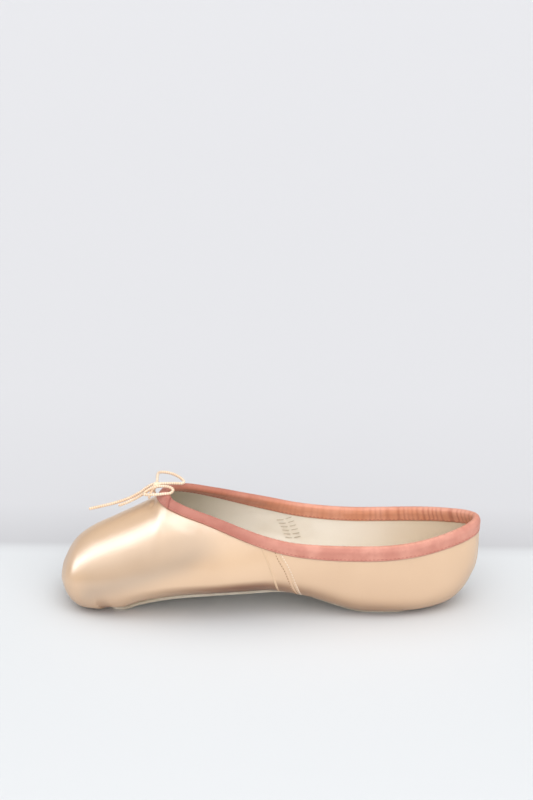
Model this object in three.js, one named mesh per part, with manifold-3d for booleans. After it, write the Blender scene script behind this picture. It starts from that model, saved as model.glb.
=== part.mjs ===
// A pointe shoe on a straight last, in millimetres: toe towards -X, heel towards +X, +Z up.
// The origin is on the floor below the middle of the shoe, which stands on its leather sole.
// The last is one table of sections. The upper is the shell between two offsets of it, open at the
// collar and underneath. The binding and the insole are cut from further offsets of the same last.

import * as THREE from "three";
import { mergeVertices } from "three/addons/utils/BufferGeometryUtils.js";
import Module from "manifold-3d";

const wasm = await Module();
wasm.setup();

// Driving dimensions.
const LENGTH = 235; // toe platform to the back of the heel
const BALL_WIDTH = 72; // widest part of the toe box, outside
const INSTEP_HEIGHT = 68; // floor to the upper's edge at the throat
const ARCH_HEIGHT = 10; // floor to the sole at the waist
const BOX_WALL = 3; // glued layers of the toe box
const QUARTER_WALL = 1.6; // satin and lining of the sides and heel
const SOLE_WIDTH = 34; // at the heel
const SOLE_THICKNESS = 1.9;
const INSOLE_THICKNESS = 1.5;
const LASTING_MARGIN = 5; // how far the upper turns in under the foot, past the sole's edge
const BINDING_WIDTH = 7;
const BINDING_THICKNESS = 0.9;
const CORD_DIAMETER = 1.6;
const KNOT_RADIUS = 2.1;
const GAP = 0.3; // between pieces that meet

// Mesh density.
const RINGS = 34; // along the last
const RING_POINTS = 34;
const COLLAR_STEPS = 36;
const SOLE_STEPS = 40;
const CORD_SIDES = 8;

// Sections of the last, toe to heel. "at" is a share of the length and "half" of the ball width.
// "keel" is the lowest level in mm above the tread line. "belly", the widest level, and "crest" are
// shares of the instep height. "low" and "high" say how square the section is below and above the
// belly, where 2 is an ellipse.
const LAST = [
  { at: 0.0, half: 0.15, keel: 12.5, belly: 0.25, crest: 0.31, low: 2.0, high: 2.0 },
  { at: 0.008, half: 0.235, keel: 8.6, belly: 0.25, crest: 0.37, low: 2.1, high: 2.0 },
  { at: 0.0155, half: 0.28, keel: 5.6, belly: 0.25, crest: 0.425, low: 2.3, high: 2.0 },
  { at: 0.03, half: 0.328, keel: 2.4, belly: 0.25, crest: 0.5, low: 2.6, high: 2.0 },
  { at: 0.048, half: 0.362, keel: 0.8, belly: 0.25, crest: 0.56, low: 2.9, high: 2.0 },
  { at: 0.078, half: 0.4, keel: 0.5, belly: 0.26, crest: 0.63, low: 3.0, high: 2.0 },
  { at: 0.122, half: 0.435, keel: 0.9, belly: 0.275, crest: 0.703, low: 2.7, high: 2.0 },
  { at: 0.173, half: 0.468, keel: 1.7, belly: 0.285, crest: 0.788, low: 2.2, high: 2.0 },
  { at: 0.217, half: 0.488, keel: 1.9, belly: 0.295, crest: 0.872, low: 2.05, high: 1.95 },
  { at: 0.25, half: 0.497, keel: 1.9, belly: 0.305, crest: 0.968, low: 2.0, high: 1.9 },
  { at: 0.3, half: 0.5, keel: 1.9, belly: 0.315, crest: 0.995, low: 2.0, high: 1.9 },
  { at: 0.37, half: 0.49, keel: 1.9, belly: 0.32, crest: 0.975, low: 2.0, high: 1.9 },
  { at: 0.44, half: 0.47, keel: 1.9, belly: 0.33, crest: 0.96, low: 2.0, high: 1.95 },
  { at: 0.5, half: 0.445, keel: 1.9, belly: 0.335, crest: 0.97, low: 2.1, high: 2.1 },
  { at: 0.56, half: 0.42, keel: 1.1, belly: 0.33, crest: 1.01, low: 2.5, high: 2.2 },
  { at: 0.63, half: 0.402, keel: 0.7, belly: 0.32, crest: 1.08, low: 2.8, high: 2.2 },
  { at: 0.7, half: 0.395, keel: 0.6, belly: 0.3, crest: 1.14, low: 3.2, high: 2.2 },
  { at: 0.78, half: 0.39, keel: 0.6, belly: 0.29, crest: 1.18, low: 3.4, high: 2.2 },
  { at: 0.843, half: 0.362, keel: 0.8, belly: 0.29, crest: 1.18, low: 3.4, high: 2.2 },
  { at: 0.895, half: 0.318, keel: 1.8, belly: 0.3, crest: 1.1, low: 3.0, high: 2.1 },
  { at: 0.935, half: 0.265, keel: 4.3, belly: 0.33, crest: 1.0, low: 2.6, high: 2.0 },
  { at: 0.966, half: 0.202, keel: 10, belly: 0.41, crest: 0.9, low: 2.3, high: 2.0 },
  { at: 0.987, half: 0.132, keel: 18, belly: 0.49, crest: 0.82, low: 2.1, high: 2.0 },
  { at: 0.997, half: 0.066, keel: 26, belly: 0.55, crest: 0.75, low: 2.0, high: 2.0 },
  { at: 1.0, half: 0.012, keel: 36.5, belly: 0.59, crest: 0.64, low: 2.0, high: 2.0 },
];

// Side view of the upper's edge, throat to heel: shares of the length, of the instep height and, for
// the level of the binding's lower edge below it, of the binding's width.
const COLLAR = [
  { at: 0.25, height: 0.962, fold: 0.85 },
  { at: 0.272, height: 0.95, fold: 0.78 },
  { at: 0.32, height: 0.908, fold: 0.74 },
  { at: 0.38, height: 0.85, fold: 0.75 },
  { at: 0.44, height: 0.785, fold: 0.77 },
  { at: 0.5, height: 0.727, fold: 0.8 },
  { at: 0.56, height: 0.681, fold: 0.87 },
  { at: 0.63, height: 0.656, fold: 0.96 },
  { at: 0.7, height: 0.647, fold: 1 },
  { at: 0.77, height: 0.651, fold: 1 },
  { at: 0.84, height: 0.67, fold: 1 },
  { at: 0.91, height: 0.704, fold: 1 },
  { at: 0.965, height: 0.738, fold: 1 },
  { at: 1.01, height: 0.772, fold: 1 },
];

// The tread line, the sole's underside: flat below the ball and the heel, arched between them.
const TREAD = [
  { at: 0.0, rise: 0 },
  { at: 0.1, rise: 0 },
  { at: 0.15, rise: 0 },
  { at: 0.19, rise: 0.32 },
  { at: 0.26, rise: 0.68 },
  { at: 0.34, rise: 0.84 },
  { at: 0.44, rise: 0.94 },
  { at: 0.53, rise: 1 },
  { at: 0.59, rise: 0.8 },
  { at: 0.64, rise: 0.45 },
  { at: 0.69, rise: 0.13 },
  { at: 0.73, rise: 0 },
  { at: 0.8, rise: 0 },
  { at: 1.0, rise: 0 },
];

// The sole's outline: "half" is a share of the sole width. Its two ends are round.
const SOLE = [
  { at: 0.105, half: 0.49 },
  { at: 0.17, half: 0.495 },
  { at: 0.26, half: 0.5 },
  { at: 0.34, half: 0.48 },
  { at: 0.44, half: 0.43 },
  { at: 0.53, half: 0.38 },
  { at: 0.62, half: 0.42 },
  { at: 0.72, half: 0.5 },
  { at: 0.8, half: 0.5 },
  { at: 0.865, half: 0.44 },
];
const SOLE_TOE_ROUND = 6.5;
const SOLE_HEEL_ROUND = 16;
const NARROWEST = 1; // half width of a plate's tips

// Points of the drawstring, which leaves its casing at the throat and is tied in a small bow.
const KNOT = [-64.6, 1.5, 69.2];
const CASING_EXITS = [
  [-68.0, -1.6, 64.6],
  [-66.0, 2.6, 65.4],
];
const CORDS = {
  drawstring_loop_right: [
    [-64.2, 3.9, 70.6],
    [-64.3, 9.0, 71.6],
    [-63.6, 13.6, 71.6],
    [-60.9, 15.6, 71.0],
    [-56.9, 14.9, 70.6],
    [-52.6, 11.8, 70.0],
    [-49.4, 7.8, 69.0],
    [-49.9, 5.3, 68.8],
    [-54.8, 3.9, 69.4],
    [-61.9, 2.2, 69.9],
  ],
  drawstring_loop_left: [
    [-62.2, -0.4, 69.4],
    [-57.4, -2.2, 69.9],
    [-54.8, -4.1, 69.0],
    [-55.9, -6.0, 68.0],
    [-60.0, -6.9, 67.7],
    [-66.5, -6.6, 67.0],
    [-70.6, -5.0, 66.5],
    [-70.6, -3.0, 66.9],
    [-66.9, -0.7, 68.4],
  ],
  drawstring_end_long: [
    [-67.1, 2.95, 68.9],
    [-69.4, 3.3, 67.4],
    [-73.6, 3.6, 64.0],
    [-80.5, 4.0, 59.9],
    [-87.0, 4.4, 57.2],
    [-95.0, 4.9, 54.7],
    [-103.3, 5.4, 52.4],
  ],
  drawstring_end_short: [
    [-68.0, 1.1, 66.9],
    [-70.3, 1.3, 65.1],
    [-75.0, 1.6, 61.8],
    [-80.4, 2.0, 58.6],
    [-86.2, 2.3, 56.0],
  ],
};

// Row of a table at a parameter that counts rows, by a cubic through its neighbours.
function rowAt(rows, t) {
  const i = Math.min(Math.max(Math.floor(t), 0), rows.length - 2);
  const u = t - i;
  const near = [i - 1, i, i + 1, i + 2].map((k) => rows[Math.min(Math.max(k, 0), rows.length - 1)]);
  const row = {};
  for (const key of Object.keys(rows[0])) {
    const [a, b, c, d] = near.map((r) => r[key]);
    const slope = (c - a) * u;
    const square = (2 * a - 5 * b + 4 * c - d) * u ** 2;
    const cube = (3 * b - a - 3 * c + d) * u ** 3;
    row[key] = b + (slope + square + cube) / 2;
  }
  return row;
}

// Row of a table where its "at" has the given value.
function lookUp(rows, at) {
  let low = 0;
  let high = rows.length - 1;
  while (high - low > 1e-6) {
    const middle = (low + high) / 2;
    if (rowAt(rows, middle).at < at) low = middle;
    else high = middle;
  }
  return rowAt(rows, low);
}

// The binding stands out behind the heel, and the origin is in the middle of the whole shoe.
const OVERHANG = GAP + BINDING_THICKNESS;
const xAt = (share) => (share - 0.5) * LENGTH - OVERHANG / 2;
const shareAt = (x) => (x + OVERHANG / 2) / LENGTH + 0.5;
const treadAt = (x) => ARCH_HEIGHT * Math.max(0, lookUp(TREAD, shareAt(x)).rise);

// A point on the last: t counts rows of its table, and the angle runs from -90 degrees at the bottom
// through 0 at the widest level to 90 at the top.
function lastPoint(t, angle) {
  const row = rowAt(LAST, t);
  const x = xAt(row.at);
  const tread = treadAt(x);
  const belly = row.belly * INSTEP_HEIGHT + tread / 2;
  const up = Math.sin(angle) > 0;
  const reach = up ? row.crest * INSTEP_HEIGHT - belly : belly - tread - row.keel;
  const power = 2 / (up ? row.high : row.low);
  const across = Math.sign(Math.cos(angle)) * Math.abs(Math.cos(angle)) ** power;
  const along = Math.sign(Math.sin(angle)) * Math.abs(Math.sin(angle)) ** power;
  return new THREE.Vector3(x, row.half * BALL_WIDTH * across, belly + reach * along);
}

// The outward normal there, from the differences along and around the last.
function lastNormal(t, angle) {
  const ends = LAST.length - 1;
  if (t < 0.01) return new THREE.Vector3(-1, 0, 0);
  if (t > ends - 0.01) return new THREE.Vector3(1, 0, 0);
  const step = 0.02;
  const along = lastPoint(Math.min(t + step, ends), angle).sub(lastPoint(Math.max(t - step, 0), angle));
  const around = lastPoint(t, angle + step).sub(lastPoint(t, angle - step));
  return around.cross(along).normalize();
}

function solidFrom(positions, triangles) {
  const vertProperties = new Float32Array(positions);
  const triVerts = new Uint32Array(triangles);
  return new wasm.Manifold(new wasm.Mesh({ numProp: 3, vertProperties, triVerts }));
}

function solidFromGeometry(geometry) {
  const bare = geometry.index ? geometry.toNonIndexed() : geometry.clone();
  bare.deleteAttribute("normal");
  bare.deleteAttribute("uv");
  const merged = mergeVertices(bare, 1e-4);
  return solidFrom(merged.attributes.position.array, merged.index.array);
}

// A closed loft through rings with equal numbers of points, with a fan over each end.
function loft(rings) {
  const n = rings[0].length;
  const positions = rings.flat().flatMap((p) => p.toArray());
  const triangles = [];
  for (let i = 0; i + 1 < rings.length; i++) {
    for (let j = 0; j < n; j++) {
      const a = i * n + j;
      const b = i * n + ((j + 1) % n);
      triangles.push(a, b, b + n, a, b + n, a + n);
    }
  }
  for (const end of [0, rings.length - 1]) {
    const hub = positions.length / 3;
    const centre = new THREE.Vector3();
    for (const p of rings[end]) centre.addScaledVector(p, 1 / n);
    positions.push(...centre.toArray());
    for (let j = 0; j < n; j++) {
      const edge = [end * n + j, end * n + ((j + 1) % n)];
      triangles.push(hub, ...(end ? edge : edge.reverse()));
    }
  }
  return solidFrom(positions, triangles);
}

// The last moved in by a wall given as a function of x, and no lower than a level above the tread.
function offsetLast(wallAt, lowest = -1) {
  const rings = [];
  for (let i = 0; i <= RINGS; i++) {
    const t = (i / RINGS) * (LAST.length - 1);
    const ring = [];
    for (let j = 0; j < RING_POINTS; j++) {
      const angle = (2 * Math.PI * (j + 0.5)) / RING_POINTS - Math.PI / 2;
      const p = lastPoint(t, angle);
      p.addScaledVector(lastNormal(t, angle), -wallAt(p.x));
      p.z = Math.max(p.z, treadAt(p.x) + lowest);
      ring.push(p);
    }
    rings.push(ring);
  }
  return loft(rings);
}

// Thick in the toe box, thin from the throat on.
function wallAt(x) {
  const past = THREE.MathUtils.smoothstep(shareAt(x), 0.17, 0.25);
  return THREE.MathUtils.lerp(BOX_WALL, QUARTER_WALL, past);
}

// A prism across the shoe over a side-view outline of [x, z] points.
function sidePrism(outline) {
  const shape = new THREE.Shape(outline.map(([x, z]) => new THREE.Vector2(x, z)));
  const geometry = new THREE.ExtrudeGeometry(shape, { depth: 2 * BALL_WIDTH, bevelEnabled: false });
  geometry.rotateX(Math.PI / 2).translate(0, BALL_WIDTH, 0);
  return solidFromGeometry(geometry);
}

// Everything above the collar's edge moved out by a distance, with a square front at the throat.
// The distance is the same all round, or follows the fold of the binding.
function aboveCollar(out, folded = false) {
  const throat = xAt(COLLAR[0].at) - out;
  const line = [];
  for (let i = 0; i <= COLLAR_STEPS; i++) {
    const t = (i / COLLAR_STEPS) * (COLLAR.length - 1);
    const here = rowAt(COLLAR, t);
    const ahead = rowAt(COLLAR, t + 0.01);
    const behind = rowAt(COLLAR, t - 0.01);
    const run = (ahead.at - behind.at) * LENGTH;
    const rise = (ahead.height - behind.height) * INSTEP_HEIGHT;
    const scale = (out * (folded ? here.fold : 1)) / Math.hypot(run, rise);
    line.push([xAt(here.at) + rise * scale, here.height * INSTEP_HEIGHT - run * scale]);
  }
  const edge = line.filter(([x]) => x > throat + 0.05);
  const back = xAt(1) + BALL_WIDTH;
  const roof = 2 * INSTEP_HEIGHT;
  const front = [[throat, roof], [throat, edge[0][1] + Math.max(0, 0.4 * out)]];
  return sidePrism([...front, ...edge, [back, edge[edge.length - 1][1]], [back, roof]]);
}

// Half the sole's width at x, with both ends rounded.
function soleHalfAt(x) {
  const start = xAt(SOLE[0].at);
  const end = xAt(SOLE[SOLE.length - 1].at);
  const round = (d, radius) => Math.sqrt(Math.max(1 - (1 - Math.min(d / radius, 1)) ** 2, 0));
  const ends = round(x - start, SOLE_TOE_ROUND) * round(end - x, SOLE_HEEL_ROUND);
  return lookUp(SOLE, shareAt(x)).half * SOLE_WIDTH * ends;
}

// A rectangle across the shoe between two levels above the tread.
function crossSection(x, half, from, to) {
  const corner = (y, z) => new THREE.Vector3(x, y, treadAt(x) + z);
  return [corner(-half, to), corner(-half, from), corner(half, from), corner(half, to)];
}

// A plate of the sole's outline grown by a distance, between two levels above the tread.
function solePlate(grow, from, to) {
  const start = xAt(SOLE[0].at);
  const end = xAt(SOLE[SOLE.length - 1].at);
  const middle = (start + end) / 2;
  const stretch = (end - start + 2 * grow) / (end - start);
  const rings = [];
  for (let i = 0; i <= SOLE_STEPS; i++) {
    const x = middle - (Math.cos((Math.PI * i) / SOLE_STEPS) * (end - start)) / 2;
    const half = soleHalfAt(x) + grow;
    if (grow < 0 && half < NARROWEST) continue;
    const place = middle + (x - middle) * stretch;
    rings.push(crossSection(place, Math.max(half, NARROWEST), from, to));
  }
  return loft(rings);
}

// A slab the full width of the shoe between two levels above the tread, with the last's own stations.
function slab(from, to) {
  const rings = [];
  for (let i = 0; i <= RINGS; i++) {
    const { at } = rowAt(LAST, (i / RINGS) * (LAST.length - 1));
    rings.push(crossSection(xAt(at), BALL_WIDTH, from, to));
  }
  return loft(rings);
}

// Levels above the tread, from the sole up.
const MARGIN_LEVEL = SOLE_THICKNESS + GAP;
const INSIDE_LEVEL = MARGIN_LEVEL + QUARTER_WALL;
const INSOLE_LEVEL = INSIDE_LEVEL + GAP;

function upper() {
  const inside = offsetLast(wallAt, INSIDE_LEVEL);
  const seat = solePlate(GAP, -2, MARGIN_LEVEL);
  const underneath = solePlate(-LASTING_MARGIN, -2, INSOLE_LEVEL + 1);
  return offsetLast(() => 0).subtract(inside).subtract(aboveCollar(0)).subtract(seat).subtract(underneath);
}

// The casing is folded over the edge: one leaf outside the upper, one inside and a fold on top.
function binding() {
  const leaf = GAP + BINDING_THICKNESS;
  const outer = offsetLast(() => -leaf);
  const inner = offsetLast((x) => wallAt(x) + leaf);
  const outerFace = offsetLast(() => -GAP);
  const innerFace = offsetLast((x) => wallAt(x) + GAP);
  const band = aboveCollar(BINDING_WIDTH, true).subtract(aboveCollar(-leaf));
  const room = outerFace.subtract(innerFace).subtract(aboveCollar(-GAP));
  return outer.subtract(inner).intersect(band).subtract(room);
}

function outsole() {
  return solePlate(0, 0, SOLE_THICKNESS);
}

// The sock lies on the upper's turned-in margin and fills the opening inside it.
function insole() {
  const inside = offsetLast((x) => wallAt(x) + GAP, INSIDE_LEVEL);
  const sock = inside.intersect(slab(INSOLE_LEVEL, INSOLE_LEVEL + INSOLE_THICKNESS));
  const filler = solePlate(-LASTING_MARGIN - GAP, MARGIN_LEVEL, INSOLE_LEVEL + INSOLE_THICKNESS / 2);
  return sock.add(filler);
}

function cord(points) {
  const path = new THREE.CatmullRomCurve3(points.map((p) => new THREE.Vector3(...p)), false, "centripetal");
  const shape = new THREE.Shape();
  shape.absarc(0, 0, CORD_DIAMETER / 2, 0, 2 * Math.PI, false);
  const steps = Math.max(2, Math.round(path.getLength() / (2 * CORD_DIAMETER)));
  const settings = { steps, curveSegments: CORD_SIDES / 2, bevelEnabled: false, extrudePath: path };
  return new THREE.ExtrudeGeometry(shape, settings);
}

function knot() {
  let solid = solidFromGeometry(new THREE.SphereGeometry(KNOT_RADIUS, 12, 8).translate(...KNOT));
  for (const exit of CASING_EXITS) solid = solid.add(solidFromGeometry(cord([exit, KNOT])));
  return solid;
}

function meshFrom(name, geometry, material) {
  const mesh = new THREE.Mesh(geometry, material);
  mesh.name = name;
  return mesh;
}

function meshFromSolid(name, solid, material) {
  const { vertProperties, triVerts } = solid.getMesh();
  const geometry = new THREE.BufferGeometry();
  geometry.setAttribute("position", new THREE.BufferAttribute(vertProperties, 3));
  geometry.setIndex(new THREE.BufferAttribute(triVerts, 1));
  geometry.computeVertexNormals();
  return meshFrom(name, geometry, material);
}

const matt = (color, roughness) => new THREE.MeshStandardMaterial({ color, roughness, metalness: 0 });

const shoe = new THREE.Group();
shoe.add(meshFromSolid("upper", upper(), matt(0xeacfb4, 0.4)));
shoe.add(meshFromSolid("binding", binding(), matt(0xe2a08c, 0.8)));
shoe.add(meshFromSolid("outsole", outsole(), matt(0xb9ad98, 0.9)));
shoe.add(meshFromSolid("insole", insole(), matt(0xe4dccd, 0.9)));
shoe.add(meshFromSolid("drawstring_knot", knot(), matt(0xf3e2c6, 0.8)));
for (const [name, points] of Object.entries(CORDS)) {
  shoe.add(meshFrom(name, cord(points), matt(0xf3e2c6, 0.8)));
}

export default shoe;
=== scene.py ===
"""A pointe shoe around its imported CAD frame: satin upper, gathered binding, lining, sole and drawstring.

The shoe's form is the same table of sections as the CAD solids have, in millimetres, with the toe
towards -X, the heel towards +X and +Z up. mesh_from() turns millimetres into metres.
"""

import math

import bmesh
import bpy
import numpy as np
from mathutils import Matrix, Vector
from mathutils.bvhtree import BVHTree


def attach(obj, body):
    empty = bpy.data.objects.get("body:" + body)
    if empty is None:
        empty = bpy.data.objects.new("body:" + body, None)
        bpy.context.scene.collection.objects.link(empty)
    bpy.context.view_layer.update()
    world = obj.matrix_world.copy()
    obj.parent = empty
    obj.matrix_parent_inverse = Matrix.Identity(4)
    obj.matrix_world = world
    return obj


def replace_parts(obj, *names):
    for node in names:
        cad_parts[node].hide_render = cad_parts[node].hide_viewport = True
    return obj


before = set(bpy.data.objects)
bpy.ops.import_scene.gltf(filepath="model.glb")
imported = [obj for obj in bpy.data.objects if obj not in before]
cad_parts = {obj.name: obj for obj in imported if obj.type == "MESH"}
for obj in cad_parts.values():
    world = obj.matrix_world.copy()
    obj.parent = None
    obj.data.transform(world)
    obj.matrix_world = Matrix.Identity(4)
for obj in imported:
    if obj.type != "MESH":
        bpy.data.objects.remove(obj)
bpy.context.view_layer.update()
MM = 0.001

# ---- Sizes of the shoe, in millimetres, as in the CAD model.

LENGTH = 235.0
BALL_WIDTH = 72.0
INSTEP_HEIGHT = 68.0
ARCH_HEIGHT = 10.0
BOX_WALL = 3.0
QUARTER_WALL = 1.6
SOLE_WIDTH = 34.0
SOLE_THICKNESS = 1.9
BINDING_WIDTH = 7.0
OVERHANG = 1.2
CORD_DIAMETER = 1.6

LAST = dict(columns="at half keel belly crest low high")
LAST["rows"] = [
    (0.0, 0.15, 12.5, 0.25, 0.31, 2.0, 2.0),
    (0.008, 0.235, 8.6, 0.25, 0.37, 2.1, 2.0),
    (0.0155, 0.28, 5.6, 0.25, 0.425, 2.3, 2.0),
    (0.03, 0.328, 2.4, 0.25, 0.5, 2.6, 2.0),
    (0.048, 0.362, 0.8, 0.25, 0.56, 2.9, 2.0),
    (0.078, 0.4, 0.5, 0.26, 0.63, 3.0, 2.0),
    (0.122, 0.435, 0.9, 0.275, 0.703, 2.7, 2.0),
    (0.173, 0.468, 1.7, 0.285, 0.788, 2.2, 2.0),
    (0.217, 0.488, 1.9, 0.295, 0.872, 2.05, 1.95),
    (0.25, 0.497, 1.9, 0.305, 0.968, 2.0, 1.9),
    (0.3, 0.5, 1.9, 0.315, 0.995, 2.0, 1.9),
    (0.37, 0.49, 1.9, 0.32, 0.975, 2.0, 1.9),
    (0.44, 0.47, 1.9, 0.33, 0.96, 2.0, 1.95),
    (0.5, 0.445, 1.9, 0.335, 0.97, 2.1, 2.1),
    (0.56, 0.42, 1.1, 0.33, 1.01, 2.5, 2.2),
    (0.63, 0.402, 0.7, 0.32, 1.08, 2.8, 2.2),
    (0.7, 0.395, 0.6, 0.3, 1.14, 3.2, 2.2),
    (0.78, 0.39, 0.6, 0.29, 1.18, 3.4, 2.2),
    (0.843, 0.362, 0.8, 0.29, 1.18, 3.4, 2.2),
    (0.895, 0.318, 1.8, 0.3, 1.1, 3.0, 2.1),
    (0.935, 0.265, 4.3, 0.33, 1.0, 2.6, 2.0),
    (0.966, 0.202, 10.0, 0.41, 0.9, 2.3, 2.0),
    (0.987, 0.132, 18.0, 0.49, 0.82, 2.1, 2.0),
    (0.997, 0.066, 26.0, 0.55, 0.75, 2.0, 2.0),
    (1.0, 0.012, 36.5, 0.59, 0.64, 2.0, 2.0),
]
COLLAR = dict(columns="at height fold")
COLLAR["rows"] = [
    (0.25, 0.962, 0.85), (0.272, 0.95, 0.78), (0.32, 0.908, 0.74), (0.38, 0.85, 0.75),
    (0.44, 0.785, 0.77), (0.5, 0.727, 0.8), (0.56, 0.681, 0.87), (0.63, 0.656, 0.96),
    (0.7, 0.647, 1.0), (0.77, 0.651, 1.0), (0.84, 0.67, 1.0), (0.91, 0.704, 1.0),
    (0.965, 0.738, 1.0), (1.01, 0.772, 1.0),
]
TREAD = dict(columns="at rise")
TREAD["rows"] = [
    (0.0, 0.0), (0.1, 0.0), (0.15, 0.0), (0.19, 0.32), (0.26, 0.68), (0.34, 0.84), (0.44, 0.94),
    (0.53, 1.0), (0.59, 0.8), (0.64, 0.45), (0.69, 0.13), (0.73, 0.0), (0.8, 0.0), (1.0, 0.0),
]
SOLE = dict(columns="at half")
SOLE["rows"] = [
    (0.105, 0.49), (0.17, 0.495), (0.26, 0.5), (0.34, 0.48), (0.44, 0.43), (0.53, 0.38),
    (0.62, 0.42), (0.72, 0.5), (0.8, 0.5), (0.865, 0.44),
]
SOLE_TOE_ROUND = 6.5
SOLE_HEEL_ROUND = 16.0
LAST_END = len(LAST["rows"]) - 1  # the last's row numbers run from 0 at the toe to this at the heel
TABLE_STEPS = 6000


def rows_at(table, t):
    """The columns of a table at the row numbers t, by a cubic through the neighbouring rows."""
    t = np.asarray(t, float)
    last = len(table["rows"]) - 1
    i = np.clip(np.floor(t).astype(int), 0, last - 1)
    u = t - i
    picks = [np.clip(i + k, 0, last) for k in (-1, 0, 1, 2)]
    made = {}
    for name, column in zip(table["columns"].split(), np.array(table["rows"]).T):
        a, b, c, d = (column[k] for k in picks)
        square = 2 * a - 5 * b + 4 * c - d
        cube = 3 * b - a - 3 * c + d
        made[name] = b + ((c - a) * u + square * u**2 + cube * u**3) / 2
    return made


def look_up(table, at):
    """The columns of a table where its "at" has the given values."""
    dense = np.linspace(0, len(table["rows"]) - 1, TABLE_STEPS)
    return rows_at(table, np.interp(at, rows_at(table, dense)["at"], dense))


def x_at(share):
    """The place in mm of a share of the length, 0 at the toe and 1 at the heel."""
    return (share - 0.5) * LENGTH - OVERHANG / 2


def share_at(x):
    return (x + OVERHANG / 2) / LENGTH + 0.5


def tread_at(x):
    """Height in mm of the sole's underside."""
    return ARCH_HEIGHT * np.maximum(0, look_up(TREAD, share_at(x))["rise"])


def last_sizes(t):
    """Sizes in mm of the last's sections at the row numbers t."""
    row = rows_at(LAST, t)
    x = x_at(row["at"])
    tread = tread_at(x)
    belly = row["belly"] * INSTEP_HEIGHT + tread / 2
    return dict(
        x=x,
        half=row["half"] * BALL_WIDTH,
        belly=belly,
        down=belly - tread - row["keel"],
        up=row["crest"] * INSTEP_HEIGHT - belly,
        low=row["low"],
        high=row["high"],
    )


def last_points(t, angle):
    """Points on the last: angle -90 degrees is the bottom, 0 the widest level and 90 the top."""
    s = last_sizes(t)
    c, n = np.cos(angle), np.sin(angle)
    power = 2 / np.where(n > 0, s["high"], s["low"])
    reach = np.where(n > 0, s["up"], s["down"])
    y = s["half"] * np.sign(c) * np.abs(c) ** power
    z = s["belly"] + reach * np.sign(n) * np.abs(n) ** power
    return np.stack([s["x"] + 0 * y, y, z], axis=-1)


def smooth(edge0, edge1, value):
    """0 up to edge0, 1 past edge1, and a soft step between them."""
    u = np.clip((value - edge0) / (edge1 - edge0), 0, 1)
    return u * u * (3 - 2 * u)


def bump(value, centre, width):
    """A soft ridge, 1 at its centre and near 0 beyond twice its width."""
    return np.exp(-(((value - centre) / width) ** 2))


def eased(start, end, count):
    """Places from start to end, closer together near both."""
    return start + (end - start) * (1 - np.cos(np.linspace(0, np.pi, count))) / 2


# ---- Curves and meshes.


def spline(points, step):
    """Points every step mm along a smooth curve through the given ones (centripetal Catmull-Rom)."""
    p = np.array(points, float)
    p = np.vstack([2 * p[0] - p[1], p, 2 * p[-1] - p[-2]])
    knots = np.concatenate([[0], np.cumsum(np.sqrt(np.linalg.norm(np.diff(p, axis=0), axis=1)))])

    def between(a, b, i, k, t):
        return (a * (knots[k] - t) + b * (t - knots[i])) / (knots[k] - knots[i])

    dense = []
    for i in range(1, len(p) - 2):
        t = np.linspace(knots[i], knots[i + 1], 30, endpoint=False)[:, None]
        first = between(p[i - 1], p[i], i - 1, i, t)
        second = between(p[i], p[i + 1], i, i + 1, t)
        third = between(p[i + 1], p[i + 2], i + 1, i + 2, t)
        low = between(first, second, i - 1, i + 1, t)
        high = between(second, third, i, i + 2, t)
        dense.append(between(low, high, i, i + 1, t))
    return resample(np.vstack([*dense, p[-2:-1]]), step)


def run_of(points, axis=0):
    """Distance in mm along a line of points, or along one axis of a grid of them."""
    steps = np.diff(points, axis=axis, prepend=np.take(points, [0], axis))
    return np.cumsum(np.linalg.norm(steps, axis=-1), axis=axis)


def at_places(points, run, places):
    """Points at distances along a line, run being those of its own points."""
    return np.stack([np.interp(places, run, column) for column in points.T], axis=1)


def resample(points, step):
    """Points evenly spaced along a line."""
    run = run_of(points)
    return at_places(points, run, np.linspace(0, run[-1], max(2, int(round(run[-1] / step)) + 1)))


def unit(v):
    return v / np.maximum(np.linalg.norm(v, axis=-1, keepdims=True), 1e-9)


def grid_faces(rows, columns, start=0, around=False, flip=False, ends=False):
    """Quads of a grid numbered row by row. around joins the last column to the first, ends caps it."""
    i = np.arange(rows - 1)[:, None]
    j = np.arange(columns if around else columns - 1)[None, :]
    k = (j + 1) % columns
    corners = [i * columns + j, i * columns + k, (i + 1) * columns + k, (i + 1) * columns + j]
    faces = np.stack([start + c for c in corners], axis=-1).reshape(-1, 4).tolist()
    if ends:
        faces += [list(range(columns))[::-1], list(range((rows - 1) * columns, rows * columns))]
    return [face[::-1] for face in faces] if flip else faces


def mesh_from(name, points, faces, material, uv=None, weights=None):
    """A smooth mesh from points in mm, with a UV map in mm and named numbers at its points."""
    mesh = bpy.data.meshes.new(name)
    mesh.from_pydata((np.asarray(points, float).reshape(-1, 3) * MM).tolist(), [], faces)
    if uv is not None:
        corner = np.zeros(len(mesh.loops), int)
        mesh.loops.foreach_get("vertex_index", corner)
        layer = mesh.uv_layers.new(name="threads")
        layer.data.foreach_set("uv", np.asarray(uv, np.float32).reshape(-1, 2)[corner].ravel())
    for key, values in (weights or {}).items():
        attribute = mesh.attributes.new(key, "FLOAT", "POINT")
        attribute.data.foreach_set("value", np.asarray(values, np.float32).ravel())
    mesh.materials.append(material)
    mesh.shade_smooth()
    piece = bpy.data.objects.new(name, mesh)
    bpy.context.scene.collection.objects.link(piece)
    return piece


def weld(piece):
    """Joins the points of two halves that lie on each other."""
    b = bmesh.new()
    b.from_mesh(piece.data)
    bmesh.ops.remove_doubles(b, verts=b.verts, dist=0.01 * MM)
    bmesh.ops.dissolve_degenerate(b, edges=b.edges, dist=0.005 * MM)
    bmesh.ops.recalc_face_normals(b, faces=b.faces)
    b.to_mesh(piece.data)
    b.free()
    piece.data.shade_smooth()


def ridden(piece):
    """Fixes a piece to the shoe's only body."""
    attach(piece, "root")
    return piece


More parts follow.
